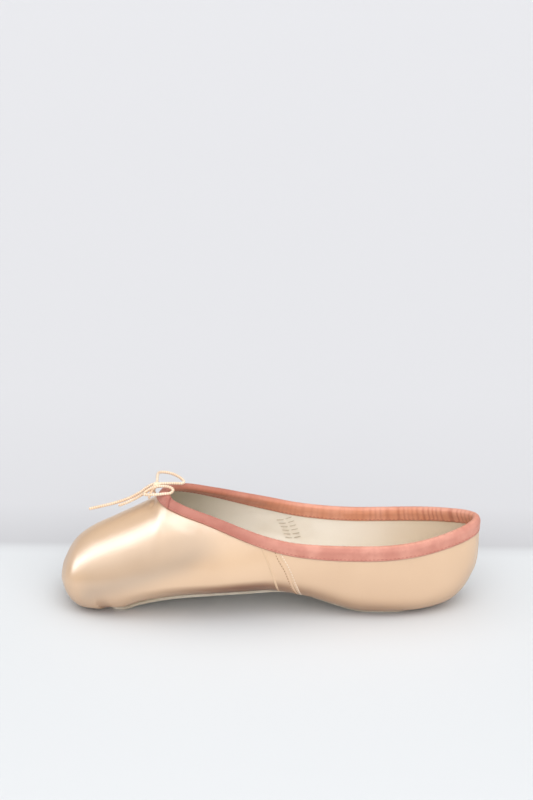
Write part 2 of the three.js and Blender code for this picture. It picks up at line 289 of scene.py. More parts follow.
def tube(path, radius, sides, relief=None):
    """Points and faces of a tube with round ends. relief(run, angle) is a share of its radius."""
    forward = unit(np.gradient(path, axis=0))
    side = np.zeros_like(path)
    side[0] = unit(np.cross(forward[0], (0.3, 0.2, 1.0)))
    for i in range(1, len(path)):
        side[i] = unit(side[i - 1] - forward[i] * (side[i - 1] @ forward[i]))
    up = np.cross(forward, side)
    angle = np.linspace(0, 2 * np.pi, sides, endpoint=False)
    run = run_of(path)
    ends = np.minimum(run, run[-1] - run)
    round_end = np.sqrt(np.clip(1 - (1 - np.minimum(ends / radius, 1)) ** 2, 0.04, 1))
    reach = radius * round_end[:, None] * np.ones(sides)
    if relief is not None:
        reach = reach * (1 + relief(run[:, None], angle[None, :]))
    ring = side[:, None] * np.cos(angle)[:, None] + up[:, None] * np.sin(angle)[:, None]
    points = (path[:, None] + ring * reach[..., None]).reshape(-1, 3)
    return points, grid_faces(len(path), sides, around=True, ends=True)


def joined(parts):
    """Several lots of points and faces as one."""
    points, faces, start = [], [], 0
    for some, those in parts:
        points.append(some)
        faces += [[start + k for k in face] for face in those]
        start += len(some)
    return np.vstack(points), faces


STITCH_POINTS = 7
STITCH_DIP = 0.32  # how far a stitch's ends go down into the cloth
THREAD_SIDES = 6


def stitches(line, out, pitch, length, radius=0.17, lift=0.1):
    """Thread stitches along a line: each is a short bent tube that dips into the cloth at its ends."""
    run = run_of(line)
    parts = []
    for begin in np.arange(pitch * 0.3, run[-1] - length, pitch):
        places = begin + np.linspace(0, length, STITCH_POINTS)
        arch = lift - STITCH_DIP * np.linspace(-1, 1, STITCH_POINTS) ** 4
        away = unit(at_places(out, run, places)) * arch[:, None]
        parts.append(tube(at_places(line, run, places) + away, radius, THREAD_SIDES))
    return parts


# ---- Materials.


def rgb(code):
    """A linear colour from an sRGB code."""
    parts = [int(code[i : i + 2], 16) / 255 for i in (0, 2, 4)]
    return (*[((c + 0.055) / 1.055) ** 2.4 if c > 0.04045 else c / 12.92 for c in parts], 1.0)


class Nodes:
    """A short way to write the nodes of a material or of the world."""

    def __init__(self, owner):
        owner.use_nodes = True
        self.tree = owner.node_tree

    def put(self, socket, value):
        """Links another node's output to a socket, or sets its plain value."""
        if isinstance(value, bpy.types.NodeSocket):
            self.tree.links.new(value, socket)
        else:
            socket.default_value = value

    def node(self, kind, inputs=(), **settings):
        node = self.tree.nodes.new("ShaderNode" + kind)
        for key, value in settings.items():
            setattr(node, key, value)
        for key, value in dict(inputs).items():
            self.put(node.inputs[key], value)
        return node


class Shader(Nodes):
    """A material, with the kinds of nodes that the materials here are made of."""

    def __init__(self, name, **values):
        self.material = bpy.data.materials.new(name)
        super().__init__(self.material)
        self.surface = self.tree.nodes["Principled BSDF"]
        self.finish(**values)

    def math(self, operation, a, b=0.0, c=0.0):
        return self.node("Math", {0: a, 1: b, 2: c}, operation=operation).outputs[0]

    def mix(self, factor, a, b, blend="MIX"):
        node = self.node("Mix", {0: factor, 6: a, 7: b}, data_type="RGBA", blend_type=blend)
        return node.outputs[2]

    def tint(self, color, by, share, code, blend="MULTIPLY"):
        """A colour taken towards another one where by is high, by a share of it."""
        return self.mix(self.math("MULTIPLY", by, share), color, rgb(code), blend)

    def coordinates(self, kind, scale):
        source = self.node("TexCoord").outputs[kind]
        return self.node("Mapping", {"Vector": source, "Scale": scale}).outputs[0]

    def noise(self, kind, scale, detail, roughness=0.5, stretch=(1, 1, 1)):
        """Noise in "Object" or "UV" coordinates, which stretch multiplies first."""
        inputs = {"Vector": self.coordinates(kind, stretch), "Scale": scale}
        inputs |= {"Detail": detail, "Roughness": roughness}
        return self.node("TexNoise", inputs).outputs[0]

    def wave(self, kind, scale, direction, distortion=0.0):
        inputs = {"Vector": self.coordinates(kind, (1, 1, 1)), "Scale": scale}
        inputs |= {"Distortion": distortion, "Detail": 0.0}
        return self.node("TexWave", inputs, bands_direction=direction).outputs["Fac"]

    def ramp(self, factor, *stops):
        node = self.node("ValToRGB", {0: factor})
        elements = node.color_ramp.elements
        while len(elements) < len(stops):
            elements.new(0.5)
        for element, (place, color) in zip(elements, stops):
            element.position = place
            element.color = color
        return node.outputs[0]

    def span(self, value, low, high, to_low=0.0, to_high=1.0):
        """value from low to high, mapped smoothly to another range."""
        inputs = {0: value, 1: low, 2: high, 3: to_low, 4: to_high}
        return self.node("MapRange", inputs, interpolation_type="SMOOTHSTEP").outputs[0]

    def weight(self, name):
        """One of the numbers that mesh_from() stores at a mesh's points."""
        return self.node("Attribute", attribute_name=name).outputs["Fac"]

    def bump(self, height, distance, strength):
        inputs = {"Height": height, "Distance": distance, "Strength": strength}
        return self.node("Bump", inputs).outputs[0]

    def finish(self, **values):
        """Sets or links the surface's inputs, and gives the material."""
        for key, value in values.items():
            self.put(self.surface.inputs[key.replace("_", " ")], value)
        return self.material


def satin(name, color, shade, rough=0.3):
    """Peach satin: long floats of thread along the shoe, with a painted dark reflection on the flanks and
    painted shade where it turns under, where weighted so.
    """
    s = Shader(name, IOR=1.85, Anisotropic=0.55)
    streaks = s.noise("UV", 1.0, 4.0, stretch=(0.35, 9.0, 1.0))
    weave = s.wave("UV", 1.1, "DIAGONAL", 0.6)
    soft = s.noise("Object", 22.0, 2.0)
    tone = s.mix(s.span(soft, 0.3, 0.7), rgb(color), rgb(shade))
    fine = s.tint(tone, streaks, 0.16, "c79f7c")
    rough_here = s.math("MULTIPLY_ADD", streaks, 0.1, rough - 0.05)
    height = s.math("ADD", s.math("MULTIPLY", streaks, 0.7), s.math("MULTIPLY", weave, 0.3))
    tangent = s.node("Tangent", direction_type="UV_MAP", uv_map="threads").outputs[0]
    normal = s.bump(height, 0.00004, 0.5)
    painted_shade = s.weight("painted_shade")
    # painted dark reflection: a cool grey multiplied into each flank's band
    dimmed = s.mix(s.weight("painted_dark_reflection"), fine, rgb("d9dfea"), "MULTIPLY")
    # painted shade: dark brown where the satin turns under and in the pleats' valleys, and less shiny there
    shade_in = s.mix(painted_shade, dimmed, rgb("6e4026"))
    dull = s.math("MULTIPLY_ADD", painted_shade, -0.6, 0.8)
    s.finish(Base_Color=shade_in, Roughness=rough_here, Specular_IOR_Level=dull)
    return s.finish(Normal=normal, Tangent=tangent)


def twill(name, outer, inner):
    """The binding's cotton sateen: fine diagonal ribs, another colour on the leaf turned inside, and
    painted shade in its folds.
    """
    s = Shader(name, Specular_IOR_Level=0.3, Sheen_Weight=0.35, Sheen_Roughness=0.45)
    s.finish(Sheen_Tint=rgb("ffd9cc"), Roughness=0.62)
    ribs = s.wave("UV", 0.95, "DIAGONAL", 0.8)
    fibres = s.noise("UV", 1.0, 4.0, stretch=(3.0, 3.0, 1.0))
    mottle = s.noise("Object", 90.0, 3.0)
    base = s.mix(s.weight("inner"), rgb(outer), rgb(inner))
    worn = s.mix(s.span(mottle, 0.35, 0.7, 0.0, 0.35), base, rgb("f3b9a4"))
    ribbed = s.tint(worn, ribs, 0.16, "b9604f")
    front = s.tint(ribbed, s.weight("throat"), 0.5, "b08078")
    # painted shade: red-brown in the gathers' valleys and in the crease behind the lapped end
    deep = s.tint(front, s.weight("fold"), 0.6, "a8523f")
    height = s.math("ADD", s.math("MULTIPLY", ribs, 0.6), s.math("MULTIPLY", fibres, 0.5))
    return s.finish(Base_Color=deep, Normal=s.bump(height, 0.00009, 0.7))


def cotton(name, color, dark):
    """The drill lining: a plain weave with slubs, with painted shade: greyer towards the toe and warmer
    beige at the heel.
    """
    s = Shader(name, Roughness=0.85, Specular_IOR_Level=0.2, Sheen_Weight=0.2)
    across = s.wave("UV", 0.75, "X", 0.5)
    along = s.wave("UV", 0.75, "Y", 0.5)
    slubs = s.noise("UV", 1.0, 4.0, stretch=(0.5, 4.0, 1.0))
    patches = s.noise("Object", 26.0, 4.0)
    tone = s.mix(s.span(patches, 0.4, 0.65), rgb(color), rgb(dark))
    # painted shade: greyer deep in the toe box, and beige towards the heel
    toe = s.tint(tone, s.weight("toe"), 0.7, "c9c0a6", "MIX")
    heel = s.tint(toe, s.weight("heel"), 0.8, "ecd9bf", "MIX")
    height = s.math("ADD", s.math("ADD", across, along), slubs)
    slubbed = s.tint(heel, slubs, 0.12, "b8ab90")
    return s.finish(Base_Color=slubbed, Normal=s.bump(height, 0.00008, 0.6))


def suede(name, color, dark, rub):
    """The sole's split leather: short nap with rubbed patches and specks of dirt."""
    s = Shader(name, Roughness=0.8, Specular_IOR_Level=0.25, Sheen_Weight=0.25, Sheen_Roughness=0.6)
    nap = s.noise("Object", 1900.0, 4.0, 0.7)
    hide = s.noise("Object", 60.0, 5.0, 0.6)
    rubbed = s.noise("Object", 24.0, 3.0, stretch=(1, 2.2, 1))
    tone = s.mix(s.span(hide, 0.35, 0.68), rgb(color), rgb(dark))
    worn = s.mix(s.span(rubbed, 0.55, 0.72, 0.0, 0.7), tone, rgb(rub))
    flecks = s.tint(worn, nap, 0.35, "8a7a62")
    height = s.math("ADD", nap, s.math("MULTIPLY", hide, 0.8))
    return s.finish(Base_Color=flecks, Normal=s.bump(height, 0.00018, 0.7))


def thread(name, color):
    """Sewing thread, with its twist."""
    s = Shader(name, Roughness=0.55, Specular_IOR_Level=0.4, Sheen_Weight=0.2)
    twist = s.wave("Object", 900.0, "DIAGONAL")
    tone = s.tint(rgb(color), twist, 0.3, "9c7c62")
    return s.finish(Base_Color=tone, Normal=s.bump(twist, 0.00006, 0.6))


def cotton_cord(name):
    """The drawstring: a narrow cream braid of cotton, with a faint peach tint and painted shade in the
    braid's grooves.
    """
    s = Shader(name, Roughness=0.6, Specular_IOR_Level=0.35, Sheen_Weight=0.3)
    fibres = s.noise("Object", 1500.0, 3.0)
    tint = s.noise("Object", 120.0, 2.0)
    tone = s.mix(s.span(tint, 0.35, 0.65), rgb("f6e2c8"), rgb("efd2b2"))
    # painted shade: darker in the braid's grooves
    grooved = s.tint(tone, s.weight("painted_groove_shade"), 0.55, "b98d66")
    return s.finish(Base_Color=grooved, Normal=s.bump(fibres, 0.00006, 0.6))


# ---- Camera: 26 degrees above the shoe, looking along +Y at its side.


CAMERA_DISTANCE = 1.3  # in metres, as are the next two
ORBIT_MIDDLE = (0, 0, 0.03)
CAMERA_AIM = (-0.0026, 0, 0.122)  # above the shoe, which stands in the picture's lower half


def direction(azimuth, elevation):
    """The way to a place in degrees round from the shoe's near side and above the floor."""
    a, e = math.radians(azimuth), math.radians(elevation)
    return Vector((math.sin(a) * math.cos(e), -math.cos(a) * math.cos(e), math.sin(e)))


def make_camera():
    data = bpy.data.cameras.new("camera")
    data.lens = 103.0
    camera = bpy.data.objects.new("camera", data)
    camera.location = Vector(ORBIT_MIDDLE) + direction(1.0, 26.0) * CAMERA_DISTANCE
    camera.rotation_euler = (Vector(CAMERA_AIM) - camera.location).to_track_quat("-Z", "Y").to_euler()
    bpy.context.scene.collection.objects.link(camera)
    bpy.context.scene.camera = camera


make_camera()

# ---- Drawstring: two cords that leave the casing at the throat and are tied in a small bow.

KNOT = np.array([-64.6, 1.5, 69.3])
CORD_RIGHT = [
    (-65.4, 3.4, 63.4), (-66.0, 2.6, 65.4), (-65.4, 2.2, 67.6), (-64.6, 2.2, 69.6),
    (-64.2, 3.9, 70.6), (-64.3, 9.0, 71.6), (-63.6, 13.6, 71.6), (-60.9, 15.6, 71.0),
    (-56.9, 14.9, 70.6), (-52.6, 11.8, 70.0), (-49.4, 7.8, 69.0), (-49.9, 5.3, 68.8),
    (-54.8, 3.9, 69.4), (-61.9, 2.2, 69.9), (-64.6, 2.1, 69.8), (-67.1, 2.95, 68.9),
    (-69.4, 3.3, 67.4), (-73.6, 3.6, 64.0), (-80.5, 4.0, 59.9), (-87.0, 4.4, 57.2),
    (-95.0, 4.9, 54.7), (-103.3, 5.4, 52.4),
]
CORD_LEFT = [
    (-68.6, -2.0, 62.4), (-68.0, -1.6, 64.6), (-66.9, -0.9, 66.8), (-65.0, -0.6, 68.9),
    (-62.2, -0.4, 69.4), (-57.4, -2.2, 69.9), (-54.8, -4.1, 69.0), (-55.9, -6.0, 68.0),
    (-60.0, -6.9, 67.7), (-66.5, -6.6, 67.0), (-70.6, -5.0, 66.5), (-70.6, -3.0, 66.9),
    (-66.9, -0.7, 68.4), (-64.4, 0.0, 69.6), (-62.8, 1.2, 69.9), (-63.4, 2.7, 69.1),
    (-65.6, 2.2, 68.0), (-68.0, 1.1, 66.9), (-70.3, 1.3, 65.1), (-75.0, 1.6, 61.8),
    (-80.4, 2.0, 58.6), (-86.2, 2.3, 56.0),
]
KNOT_WRAPS = [(1.035, -1.045, 1.0625), (1.5525, 0.11, 1.275), (0.9775, 0.935, 1.02)]  # in mm
CORD_STEP = 0.3
CORD_SIDES = 14


def braid(run, angle):
    """Two sets of strands that wind against each other."""
    strands = np.sin(3 * angle + run * 2.4) * np.sin(3 * angle - run * 2.4)
    return 0.07 * strands


def make_cord(name, route, nodes):
    """One drawstring along its route. The route's second point is where it leaves the casing."""
    path = spline(route, CORD_STEP)
    points, faces = tube(path, CORD_DIAMETER / 2, CORD_SIDES, braid)
    angle = np.linspace(0, 2 * np.pi, CORD_SIDES, endpoint=False)
    # painted shade in the grooves between the braid's strands
    painted_groove_shade = smooth(0.03, -0.06, braid(run_of(path)[:, None], angle[None, :]))
    piece = ridden(mesh_from(name, points, faces, CORD, weights={"painted_groove_shade": painted_groove_shade}))
    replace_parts(piece, *nodes)
    float(run_of(path)[-1]) * MM


def make_knot():
    """The bow's knot: slightly slanted wraps of cord round the crossing strands."""
    parts = []
    turn = np.linspace(0, 2 * np.pi, 40)
    for half_width, along, half_height in KNOT_WRAPS:
        x = along + 0.35 * np.sin(turn)
        wrap = np.stack([x, half_width * np.cos(turn), half_height * np.sin(turn)], axis=1)
        parts.append(tube(KNOT + wrap, CORD_DIAMETER * 0.47, 12, braid))
    piece = ridden(mesh_from("drawstring_knot_wraps", *joined(parts), CORD))
    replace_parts(piece, "drawstring_knot")
    return piece


CORD = cotton_cord("drawstring_cord")
knot = make_knot()
make_cord("drawstring_right", CORD_RIGHT, ["drawstring_loop_right", "drawstring_end_long"])
make_cord("drawstring_left", CORD_LEFT, ["drawstring_loop_left", "drawstring_end_short"])

# ---- The collar's edge and the skins of the last.

THROAT_ROW = 9
NOSE_ROUND = 0.014  # share of the length over which the opening's front end is rounded
TOE_STEPS, BODY_STEPS, HEEL_STEPS = 10, 12, 10  # stations between two rows of the last
TOE_ROWS, HEEL_ROWS = 8, 5
ANGLE_STEPS = 84
THROAT_AT = COLLAR["rows"][0][0]
HEEL_AT = 0.9985  # as far back as the collar's edge is looked for


def collar_height(share):
    """Height of the collar's edge in mm. It meets the top of the last at the throat and at the heel."""
    t = np.interp(share, LAST_AT, LAST_T)
    crest = rows_at(LAST, t)["crest"]
    below = np.maximum(crest - look_up(COLLAR, share)["height"], 0)
    rounding = np.clip((share - THROAT_AT) / NOSE_ROUND, 0, 1)
    return (crest - below * rounding) * INSTEP_HEIGHT


LAST_T = np.linspace(0, LAST_END, TABLE_STEPS)
LAST_AT = rows_at(LAST, LAST_T)["at"]
HEEL_FROM = LAST_END - HEEL_ROWS
STATIONS = np.concatenate(
    [
        np.linspace(0, TOE_ROWS, TOE_ROWS * TOE_STEPS, endpoint=False),
        np.linspace(TOE_ROWS, HEEL_FROM, (HEEL_FROM - TOE_ROWS) * BODY_STEPS, endpoint=False),
        np.linspace(HEEL_FROM, LAST_END, HEEL_ROWS * HEEL_STEPS + 1),
    ]
)


def top_angles(t):
    """The angle at which each section ends: 90 degrees where it is closed, less under the collar."""
    s = last_sizes(t)
    ratio = (collar_height(share_at(s["x"])) - s["belly"]) / s["up"]
    edge = np.arcsin(np.clip(np.clip(ratio, 0, 1) ** (s["high"] / 2), 0, 1))
    return np.where(t <= THROAT_ROW, np.pi / 2, edge)


def half_skin(stations, steps):
    """Points and outward normals on one half (y >= 0) of the last, up to the collar."""
    t = stations[:, None]
    low = -np.pi / 2
    share = np.linspace(0, 1, steps + 1)[None, :]
    angle = low + (top_angles(stations)[:, None] - low) * share
    points = last_points(t, angle)
    points[-1, :, 1] = 0
    step = 0.01
    ahead = last_points(np.minimum(t + step, LAST_END), angle) - last_points(np.maximum(t - step, 0), angle)
    over = last_points(t, angle + step) - last_points(t, angle - step)
    out = unit(np.cross(over, ahead))
    out[:, 0, 1] = 0
    closed = (stations <= THROAT_ROW) | (top_angles(stations) > np.pi / 2 - 1e-4)
    out[closed, -1, 1] = 0
    out[0] = (-1, 0, 0)
    out[-1] = (1, 0, 0)
    return points, unit(out)


def mirrored(grid):
    return grid * np.array([1, -1, 1])


def cap_rings(ring, count=8):
    """Rings that shrink to the middle of the toe's flat tip, which is slightly crowned."""
    middle = (ring.min(0) + ring.max(0)) * (0.5, 0, 0.5)
    share = np.linspace(0, 1, count + 1)[:-1][:, None, None]
    rings = middle + (ring[None] - middle) * share
    rings[..., 0] = ring[0, 0] - 0.35 * (1 - share[..., 0] ** 2)
    return rings


def skin_piece(name, grid, material, thickness, weights=None):
    """A shell from one half's grid of points and its mirror image, thickness mm deep to its inside."""
    rows, columns = grid.shape[:2]
    around = run_of(grid, axis=1)
    # the threads run along the shoe, so the first coordinate is the same all round a section
    along = np.broadcast_to(run_of(grid).mean(1, keepdims=True), around.shape)
    uv = np.stack([along, around], axis=-1).reshape(-1, 2)
    half = grid_faces(rows, columns, flip=True)
    other = grid_faces(rows, columns, start=rows * columns)
    points = np.vstack([grid.reshape(-1, 3), mirrored(grid).reshape(-1, 3)])
    twice = {key: np.tile(value.ravel(), 2) for key, value in (weights or {}).items()}
    piece = mesh_from(name, points, half + other, material, np.vstack([uv, uv * (1, -1)]), twice)
    weld(piece)
    solid = piece.modifiers.new("thickness", "SOLIDIFY")
    solid.thickness = thickness * MM
    solid.offset = -1
    return ridden(piece)


# ---- Outline of the sole.

SOLE_START, SOLE_END = x_at(SOLE["rows"][0][0]), x_at(SOLE["rows"][-1][0])


def sole_half(x):
    """Half the sole's width in mm, round at both ends."""

    def rounded(distance, radius):
        return np.sqrt(np.clip(1 - (1 - np.clip(distance / radius, 0, 1)) ** 2, 0, 1))

    ends = rounded(x - SOLE_START, SOLE_TOE_ROUND) * rounded(SOLE_END - x, SOLE_HEEL_ROUND)
    return look_up(SOLE, share_at(x))["half"] * SOLE_WIDTH * ends


def sole_outline(step):
    """Points round the sole, from its front along the +Y side to the heel and back."""
    x = eased(SOLE_START, SOLE_END, 900)
    side = np.stack([x, sole_half(x), 0 * x], axis=1)
    return resample(np.vstack([side, mirrored(side)[::-1][1:]]), step)


def from_outline(points):
    """Distance in mm outside the sole's outline, and how far round it the nearest place is."""
    outline = sole_outline(1.5)
    run = run_of(outline)
    gaps = np.linalg.norm(points[:, None, :2] - outline[None, :, :2], axis=-1)
    nearest = gaps.argmin(1)
    inside = np.abs(points[:, 1]) < sole_half(points[:, 0])
    distance = gaps[np.arange(len(points)), nearest]
    return np.where(inside, -distance, distance), run[nearest]


# ---- Satin upper.

# The satin lies on the sole's top, rises outwards from it at the toe and stands off it at the arch.
SEAT_LEVEL = 2.1
TOE_RISE = 0.58
ARCH_GAP = 0.5
PLEAT_PITCH = 2.4
PLEAT_DEPTH = 0.8
PLEAT_REACH = 13.0
PAINTED_SHADE = 0.9  # how dark the painted shade is where the satin turns under
# The loose end of the satin's fold round the throat, seen as a small ridge ahead of the binding.
THROAT_RIDGE = [
    (-67.0, 2.5, 58.8), (-68.7, -1.9, 58.2), (-68.3, -6.0, 58.2),
    (-66.3, -9.2, 58.9), (-61.9, -12.8, 60.4), (-57.9, -14.6, 61.6),
]
# x and z of lines down the side: the seam, and the edge of the lining's canvas ahead of it.
SEAM_RAKE = [(3.9, 44.0), (5.0, 41.0), (9.4, 32.7), (12.6, 24.0), (15.4, 16.0), (16.4, 13.2)]
LINE_AHEAD = [(-4.7, 46.5), (-3.8, 44.0), (-0.6, 36.0), (2.2, 27.7), (4.6, 18.0), (5.3, 14.5)]
# x and z along the middle of each flank's painted dark reflection, a dimmer band which ends near the toe
# and near the quarter.
PAINTED_REFLECTION_BAND = [(-107.0, 13.0), (-73.0, 28.0), (-35.0, 44.0)]
PAINTED_REFLECTION_WIDTH = 7.0


def painted_flank_reflection(points, out):
    """Painted dark reflection on each flank: a dimmer band with a fainter one above it, on the steeper
    satin.
    """
    x, z = points[..., 0], points[..., 2]
    above = z - np.interp(x, *zip(*PAINTED_REFLECTION_BAND))
    painted_dark_reflection = bump(above, 0, PAINTED_REFLECTION_WIDTH) + 0.5 * bump(above, 11, PAINTED_REFLECTION_WIDTH)
    steep = smooth(0.8, 0.5, np.abs(out[..., 2]))
    return 0.85 * painted_dark_reflection * smooth(-113, -99, x) * smooth(-20, -48, x) * steep


def line_distance(points, line):
    """Distance in mm from a smooth line through a few points."""
    line = spline(line, 0.6)
    return np.linalg.norm(points[:, None] - line[None], axis=-1).min(1)


def drawn_down(points, away, gap):
    """Heights of the satin where it is pulled down to the sole, gap mm outside its outline."""
    x, z = points[:, 0], points[:, 2]
    below = smooth(-0.05, -0.35, away[:, 2])
    toe = smooth(-55, -72, x)
    level = tread_at(x) + SEAT_LEVEL + TOE_RISE * toe * np.maximum(gap, 0)
    drawn = smooth(5.5 + 5 * toe, 0.3, gap) * below * (1 - ARCH_GAP * bump(x, -8, 42))
    return z + (level - z) * drawn


def pleats(x, away, gap, run):
    """The pleats round the toe and, fainter, the heel: how strong they are, and 0 in a valley to 1."""
    front = smooth(-78, -91, x)
    heel = 0.5 * smooth(78, 92, x)
    reach = PLEAT_REACH + 7 * bump(x, -97, 9)
    fade = smooth(0.0, 1.2, gap) * smooth(reach, 0.45 * reach, gap)
    wander = 0.35 * np.sin(run * 0.45) + 0.25 * np.sin(run * 1.13 + 1.0)
    fold = np.abs(np.sin(np.pi * (run / PLEAT_PITCH + wander))) ** 0.8
    return fade * np.maximum(front, heel) * smooth(0.1, -0.4, away[:, 2]), fold


def creases(points):
    """Soft ridges and troughs in mm: round the throat, over the flanks and under the binding."""
    x, z = points[:, 0], points[:, 2]
    side = z / INSTEP_HEIGHT
    under_collar = collar_height(np.clip(share_at(x), 0.27, 0.99)) - z
    bend = 0.25 * bump(x, -69, 5.5) - 0.15 * bump(x, -58, 5) + 0.2 * bump(x, -46, 6)
    clear = np.where(x < -59, smooth(8, 15, np.abs(points[:, 1])), smooth(7, 11, under_collar))
    ridge = line_distance(points, THROAT_RIDGE)
    fold_end = 0.65 * bump(ridge, 0, 1.1) - 0.3 * bump(ridge, 2.3, 1.2)
    waves = np.sin(x * 0.11 + 5.2 * side) * np.sin(x * 0.043 - 3.1 * side + 0.6) * smooth(0.0, 0.3, side)
    pucker = np.sin(x * 0.62 + 1.8 * np.sin(x * 0.17)) * np.sin(x * 0.21 + 0.4)
    puckered = bump(under_collar - BINDING_WIDTH, 1.0, 3.5) * smooth(-50, -30, x)
    return bend * clear * smooth(0.3, 0.6, side) + fold_end + 0.16 * (waves + pucker * puckered)


def satin_shape(grid, out):
    """The satin over the last, with how much painted shade each of its points gets where it turns under and
    in the pleats' valleys.
    """
    points, away = grid.reshape(-1, 3).copy(), out.reshape(-1, 3)
    gap, run = from_outline(points)
    points[:, 2] = drawn_down(points, away, gap)
    x = points[:, 0]
    pleated, fold = pleats(x, away, gap, run)
    lift = PLEAT_DEPTH * (fold - 0.75) * pleated + creases(points)
    arch = 0.2 + 0.8 * bump(x, -15, 42) + 0.35 * bump(x, 60, 28)
    # painted shade: darker where the satin faces down, most under the arch and the heel, and in the pleats'
    # valleys
    painted_shade = PAINTED_SHADE * smooth(0.12, -0.55, away[:, 2]) * arch
    painted_shade = np.maximum(painted_shade, 0.85 * pleated * smooth(0.7, 0.1, fold))
    return (points + away * lift[:, None]).reshape(grid.shape), painted_shade.reshape(grid.shape[:2])


SATIN = satin("peach_satin", "dcb994", "d6b28d")
grid, out = half_skin(STATIONS, ANGLE_STEPS)
tip = cap_rings(grid[0])
out = np.vstack([np.broadcast_to(out[:1], tip.shape), out])
shaped, painted_shade = satin_shape(np.vstack([tip, grid]), out)
# the painted shade and the flanks' painted dark reflection, stored at the satin's points
shades = {"painted_shade": painted_shade, "painted_dark_reflection": painted_flank_reflection(shaped, out)}
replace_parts(skin_piece("satin_upper", shaped, SATIN, 0.6, shades), "upper")

# ---- Cotton lining inside the wall.


def wall_at(x):
    """Thickness in mm of the upper's wall, which is stiffened at the toe box."""
    return BOX_WALL + (QUARTER_WALL - BOX_WALL) * smooth(0.17, 0.25, share_at(x))


LINING_THICKNESS = 0.8
LINING_ROWS = (3.2, 22.9)  # the last's rows between which the wall has an inside
INSIDE_LEVEL = 3.6  # the lining's lowest height above the tread
LINING = cotton("lining_drill", "fdf6ea", "f4ebdc")
inner_stations = STATIONS[(STATIONS > LINING_ROWS[0]) & (STATIONS < LINING_ROWS[1])]
inner_grid, inner_out = half_skin(inner_stations, 60)
inner_grid = inner_grid - inner_out * (wall_at(inner_grid[..., :1]) - LINING_THICKNESS)
inner_grid[..., 2] = np.maximum(inner_grid[..., 2], tread_at(inner_grid[..., 0]) + INSIDE_LEVEL)
inner_grid = np.vstack([cap_rings(inner_grid[0]), inner_grid])
inner_x = inner_grid[..., 0]
# painted shade inside the shoe: greyer towards the toe, beige towards the heel
shades = {"toe": smooth(-5, -70, inner_x), "heel": smooth(30, 95, inner_x)}
skin_piece("cotton_lining", inner_grid, LINING, LINING_THICKNESS, shades)

# ---- The last's surface, to lay the binding, the seams and their stitches on.

SURFACE_STEPS = 14  # rings between two rows of the last
SURFACE_SIDES = 360


def last_surface():
    """The whole last as a closed mesh to search in."""
    t = np.linspace(0, LAST_END, LAST_END * SURFACE_STEPS + 1)[:, None]
    angle = np.linspace(-np.pi / 2, 3 * np.pi / 2, SURFACE_SIDES + 1)[None, :-1]
    faces = grid_faces(len(t), SURFACE_SIDES, around=True, flip=True, ends=True)
    return BVHTree.FromPolygons(last_points(t, angle).reshape(-1, 3).tolist(), faces)


SURFACE = last_surface()


def on_surface(points):
    """The nearest points of the last and the outward normals there."""
    found = [SURFACE.find_nearest(p) for p in points.tolist()]
    near = np.array([f[0] for f in found])
    out = np.array([f[1] for f in found])
    inside = near * (0.93, 0, 0) + (0, 0, 27)  # points well within the last, near its middle
    facing = np.sign(np.einsum("ij,ij->i", out, near - inside))
    return near, out * facing[:, None]


def ways_on(line):
    """The directions along a line that lies on the last, and across it."""
    ahead = unit(np.gradient(line, axis=0))
    return ahead, unit(np.cross(on_surface(line)[1], ahead))


def evened(values, width):
    """Values round a closed loop, smoothed over some neighbours each side."""
    taps = np.arange(-2 * width, 2 * width + 1)
    share = np.exp(-((taps / width) ** 2))
    return sum(w * np.roll(values, k, axis=0) for w, k in zip(share / share.sum(), taps))


# ---- Binding: the casing of the drawstring, folded over the collar's edge.

BINDING_STEP = 0.42
LEAF_STEPS = 18
LEAF_STEP = 0.5
STITCH_UP = 1.0  # the stitches' height above the binding's lower edge
LAP_AT = (-55.6, -5.4)  # x and y of the end that is lapped over at the throat's -Y side
LAP_RAKE = 0.19  # how it slants forward, going outwards


def collar_loop():
    """The collar's edge, from the throat along the +Y side round the heel and back."""
    share = eased(THROAT_AT, HEEL_AT, 4000)
    s = last_sizes(np.interp(share, LAST_AT, LAST_T))
    ratio = np.clip((collar_height(share) - s["belly"]) / s["up"], 0, 1)
    y = s["half"] * np.clip(1 - ratio ** s["high"], 0, 1) ** (1 / s["high"])
    side = np.stack([s["x"], y, collar_height(share)], axis=1)
    ended = np.argmax((y <= 0) & (share > 0.9)) or len(y)
    side = side[: ended + 1]
    side[0, 1] = side[-1, 1] = 0
    return resample(np.vstack([side, mirrored(side)[::-1][1:]]), BINDING_STEP)[:-1]


def leaf_paths(loop):
    """Points and normals on the last, going down from each place on the collar's edge."""
    out = unit(evened(on_surface(loop)[1], 3))
    ahead = unit(evened(np.roll(loop, -1, axis=0) - np.roll(loop, 1, axis=0), 3))
    down = unit(np.cross(out, ahead))
    rows, normals = [loop], [out]
    for _ in range(LEAF_STEPS):
        near, turned = on_surface(rows[-1] + down * LEAF_STEP)
        turned = unit(evened(turned, 3))
        down = unit(down - turned * np.einsum("ij,ij->i", down, turned)[:, None])
        rows.append(evened(near, 2))
        normals.append(turned)
    return np.stack(rows, axis=1), np.stack(normals, axis=1)


LOOP = collar_loop()
LEAF, LEAF_OUT = leaf_paths(LOOP)
LOOP_RUN = run_of(LOOP)
LOOP_SHARE = share_at(LOOP[:, 0])
LEAF_WIDTHS = {
    "outer": BINDING_WIDTH * look_up(COLLAR, np.clip(LOOP_SHARE, THROAT_AT, 1.0))["fold"],
    "inner": BINDING_WIDTH * (1.0 + 0.12 * smooth(0.6, 0.4, LOOP_SHARE)),
}
NOSE = smooth(9, 2, np.minimum(LOOP_RUN, LOOP_RUN[-1] - LOOP_RUN))  # 1 at the very front


